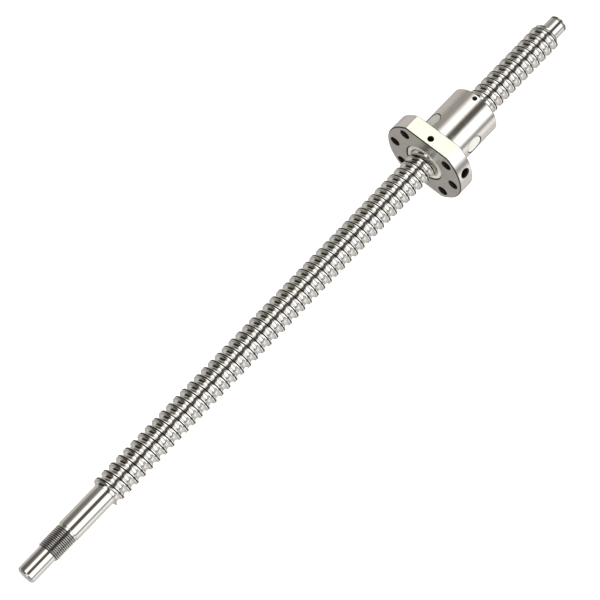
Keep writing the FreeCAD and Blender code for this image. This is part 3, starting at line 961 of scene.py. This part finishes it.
def return_insert(circuit, material, gap_shadow):
    """Oblong plug that is flush with the barrel, with rounded edges and painted shadow in the gap round it.
    """
    rings = insert_rings()
    vertices = []
    for inset, radius in rings:
        shrink = INSERT_GAP + inset
        for x, y in oblong(WINDOW_HALF_LENGTH - shrink, WINDOW_HALF_WIDTH - shrink):
            vertices.append((x, y, math.sqrt(radius ** 2 - y ** 2)))
    count = len(vertices) // len(rings)
    last = len(vertices) - count
    faces = [tuple(range(count)), tuple(reversed(range(last, len(vertices))))]
    for here in range(0, last, count):
        there = here + count
        for i in range(count):
            j = (i + 1) % count
            faces.append((here + i, there + i, there + j, here + j))
    piece = new_object(f"insert_{circuit + 1}", vertices, faces)
    piece.data.materials.append(material)
    piece.data.materials.append(gap_shadow)
    top = BARREL_RADIUS - INSERT_RECESS
    # the insert's sides below its face take the near-black material: painted shadow in the gap
    for face in piece.data.polygons:
        if face.center.z < math.sqrt(top ** 2 - face.center.y ** 2) - GAP_SHADOW_DEPTH:
            face.material_index = 1
    piece.data.transform(circuit_frame(circuit))
    merge(piece.data)
    shade(piece)
    hand_over(piece, "nut", f"return_insert_{circuit + 1}")


def dress_cad_nodes():
    """Pieces whose CAD shape stays: the set screws and the balls."""
    dresses = (
        (lambda name: name.endswith("set_screw"), black_oxide(), "set_screw_steel"),
        (lambda name: name.startswith("ball_"), polished_steel(), "ball_steel"),
    )
    for name, piece in frame["nodes"].items():
        for fits, material, slot in dresses:
            if fits(name):
                piece.data.materials.clear()
                piece.data.materials.append(material)


# Studio


def tinted(level, red, blue):
    """Colour from the brightness of its green, and of its red and blue beside that."""
    return (level * red, level, level * blue, 1.0)


def ramp(nodes, value, stops):
    """Colour of a value from 0 to 1, from (value, colour) stops of which the first is at 0."""
    made = nodes.node("ShaderNodeValToRGB", {0: value})
    elements = made.color_ramp.elements
    elements.remove(elements[1])
    elements[0].position = 0.0
    elements[0].color = stops[0][1]
    for position, colour in stops[1:]:
        elements.new(position).color = colour
    return made.outputs[0]


def card_light(nodes, angle, brightest):
    """The cards' colour at this angle, as a share of the brightest one's."""
    first = math.radians(CARDS[0].start)
    limits = {0: angle, 1: first + FULL_TURN, 2: first}
    wrapped = nodes.node("ShaderNodeMath", limits, operation="WRAP").outputs[0]
    stops = []
    for card in CARDS:
        colour = tinted(card.level / brightest, card.red, card.blue)
        stops += [((degrees - CARDS[0].start) / 360, colour) for degrees in (card.start, card.end)]
    stops.append((1.0, stops[0][1]))
    return ramp(nodes, nodes.span(wrapped, first, first + FULL_TURN), stops)


def dimming(nodes, x):
    """Share of the cards' brightness that is left at this x."""
    return ramp(nodes, nodes.span(x, -1.0, 1.0), [((at + 1) / 2, grey(share)) for at, share in DIMMING])


def patch_share(nodes, patch, degrees, x):
    """How much of a patch covers a direction, from 0 to 1."""
    shares = []
    for value, (middle, full, faded) in ((degrees, patch.degrees), (x, patch.x)):
        distance = nodes.math("ABSOLUTE", nodes.math("SUBTRACT", value, middle))
        shares.append(nodes.span(distance, full, faded, 1.0, 0.0, smooth=True))
    return nodes.math("MULTIPLY", *shares)


def studio_world():
    """White backdrop for the camera, and long cards round the screw for everything that reflects."""
    world = bpy.data.worlds.new("studio")
    world.use_nodes = True
    bpy.context.scene.world = world
    nodes = Nodes(world.node_tree)
    world.node_tree.nodes.clear()
    direction = nodes.node("ShaderNodeTexCoord").outputs["Generated"]
    x, y, z = nodes.node("ShaderNodeSeparateXYZ", {0: direction}).outputs
    angle = nodes.math("ARCTAN2", z, y)
    degrees = nodes.math("DEGREES", angle)
    brightest = max(card.level for card in CARDS)
    seen = nodes.mix(1.0, card_light(nodes, angle, brightest), dimming(nodes, x), blend="MULTIPLY")
    for patch in (DOORWAY, SCREEN):
        colour = tinted(patch.level / brightest, patch.red, patch.blue)
        seen = nodes.mix(patch_share(nodes, patch, degrees, x), seen, colour)
    cards = nodes.node("ShaderNodeBackground", {"Color": seen, "Strength": brightest})
    backdrop = nodes.node("ShaderNodeBackground", {"Color": (1.0, 1.0, 1.0, 1.0)})
    camera_ray = nodes.node("ShaderNodeLightPath").outputs["Is Camera Ray"]
    choice = nodes.node("ShaderNodeMixShader", {0: camera_ray, 1: cards.outputs[0], 2: backdrop.outputs[0]})
    nodes.node("ShaderNodeOutputWorld", {0: choice.outputs[0]})


def studio_floor():
    half = FLOOR_SIZE / 2
    height = cad_bounds[0].z - FLOOR_DROP
    corners = [(-half, -half, height), (half, -half, height), (half, half, height), (-half, half, height)]
    floor = new_object("floor", corners, [(0, 1, 2, 3)])
    floor.data.materials.append(pale_floor())
    floor.visible_glossy = False


def camera():
    data = bpy.data.cameras.new("camera")
    data.lens = LENS
    data.sensor_width = SENSOR_WIDTH
    data.clip_start = CLIP_START
    data.clip_end = CLIP_END
    level = math.cos(VIEW_ELEVATION)
    x, y = math.cos(VIEW_AZIMUTH) * level, math.sin(VIEW_AZIMUTH) * level
    back = Vector((x, y, math.sin(VIEW_ELEVATION)))
    roll = Matrix.Rotation(-VIEW_ROLL, 3, "Z").to_quaternion()
    seat = bpy.data.objects.new("camera", data)
    seat.rotation_mode = "QUATERNION"
    seat.rotation_quaternion = (-back).to_track_quat("-Z", "Y") @ roll
    seat.location = VIEW_TARGET + back * VIEW_DISTANCE
    bpy.context.scene.collection.objects.link(seat)
    bpy.context.scene.camera = seat


def main():
    # near-black material that paints the shadow in the gaps round the inserts
    gap_shadow = gap_shadow_paint()
    screw_shaft(screw_steel())
    nut_body((nut_steel(), face_steel(), flat_steel(), shade_painted_steel(), gap_shadow))
    plastic = wiper_plastic()
    rear_start = NUT_END - WIPER_RECESS - REAR_WIPER_LENGTH
    wiper("wiper_front", "front_wiper", NUT_START + WIPER_RECESS, FRONT_WIPER_LENGTH, plastic)
    wiper("wiper_rear", "rear_wiper", rear_start, REAR_WIPER_LENGTH, plastic)
    plastic = insert_plastic()
    for circuit in range(len(CIRCUIT_ANGLES)):
        return_insert(circuit, plastic, gap_shadow)
    dress_cad_nodes()
    studio_world()
    studio_floor()
    camera()
    bpy.context.scene.view_settings.view_transform = "Standard"


main()
